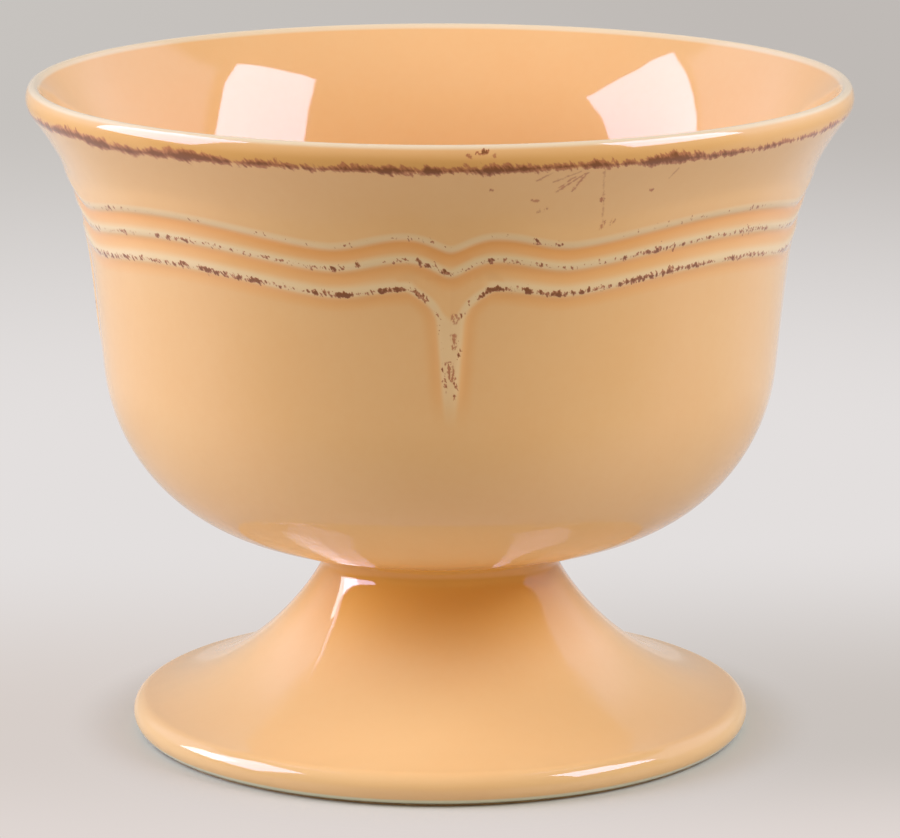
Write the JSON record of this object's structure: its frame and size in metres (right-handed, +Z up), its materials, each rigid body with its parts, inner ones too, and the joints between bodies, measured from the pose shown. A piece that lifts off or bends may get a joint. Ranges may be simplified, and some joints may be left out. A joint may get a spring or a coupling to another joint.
{
  "type": "footed dessert bowl",
  "caption": "Footed stoneware dessert bowl: flared round bowl on a low hollow pedestal foot, peach glaze with moulded swag lines and drops, for holding one serving.",
  "frame": {"origin": "middle of the foot ring's underside, on the table", "axes": "+Z up along the bowl's axis; the side seen in the picture faces -Y, with a moulded drop on its middle"},
  "size_m": [0.14, 0.14, 0.1125],
  "materials": {
    "bowl": "matte fired stoneware",
    "pedestal_foot": "matte fired stoneware, bare at the foot ring",
    "luting_slip": "matte fired slip",
    "bowl_glaze": "glossy peach glaze, cream on edges, brown oxide marks",
    "foot_glaze": "glossy peach glaze",
    "underside_glaze": "glossy amber glaze"
  },
  "bodies": {
    "root": {"bowl": "bowl", "pedestal_foot": "pedestal_foot", "luting_slip": "luting_slip", "bowl_glaze": "bowl_glaze", "foot_glaze": "foot_glaze", "underside_glaze": "underside_glaze"}
  },
  "joints": []
}
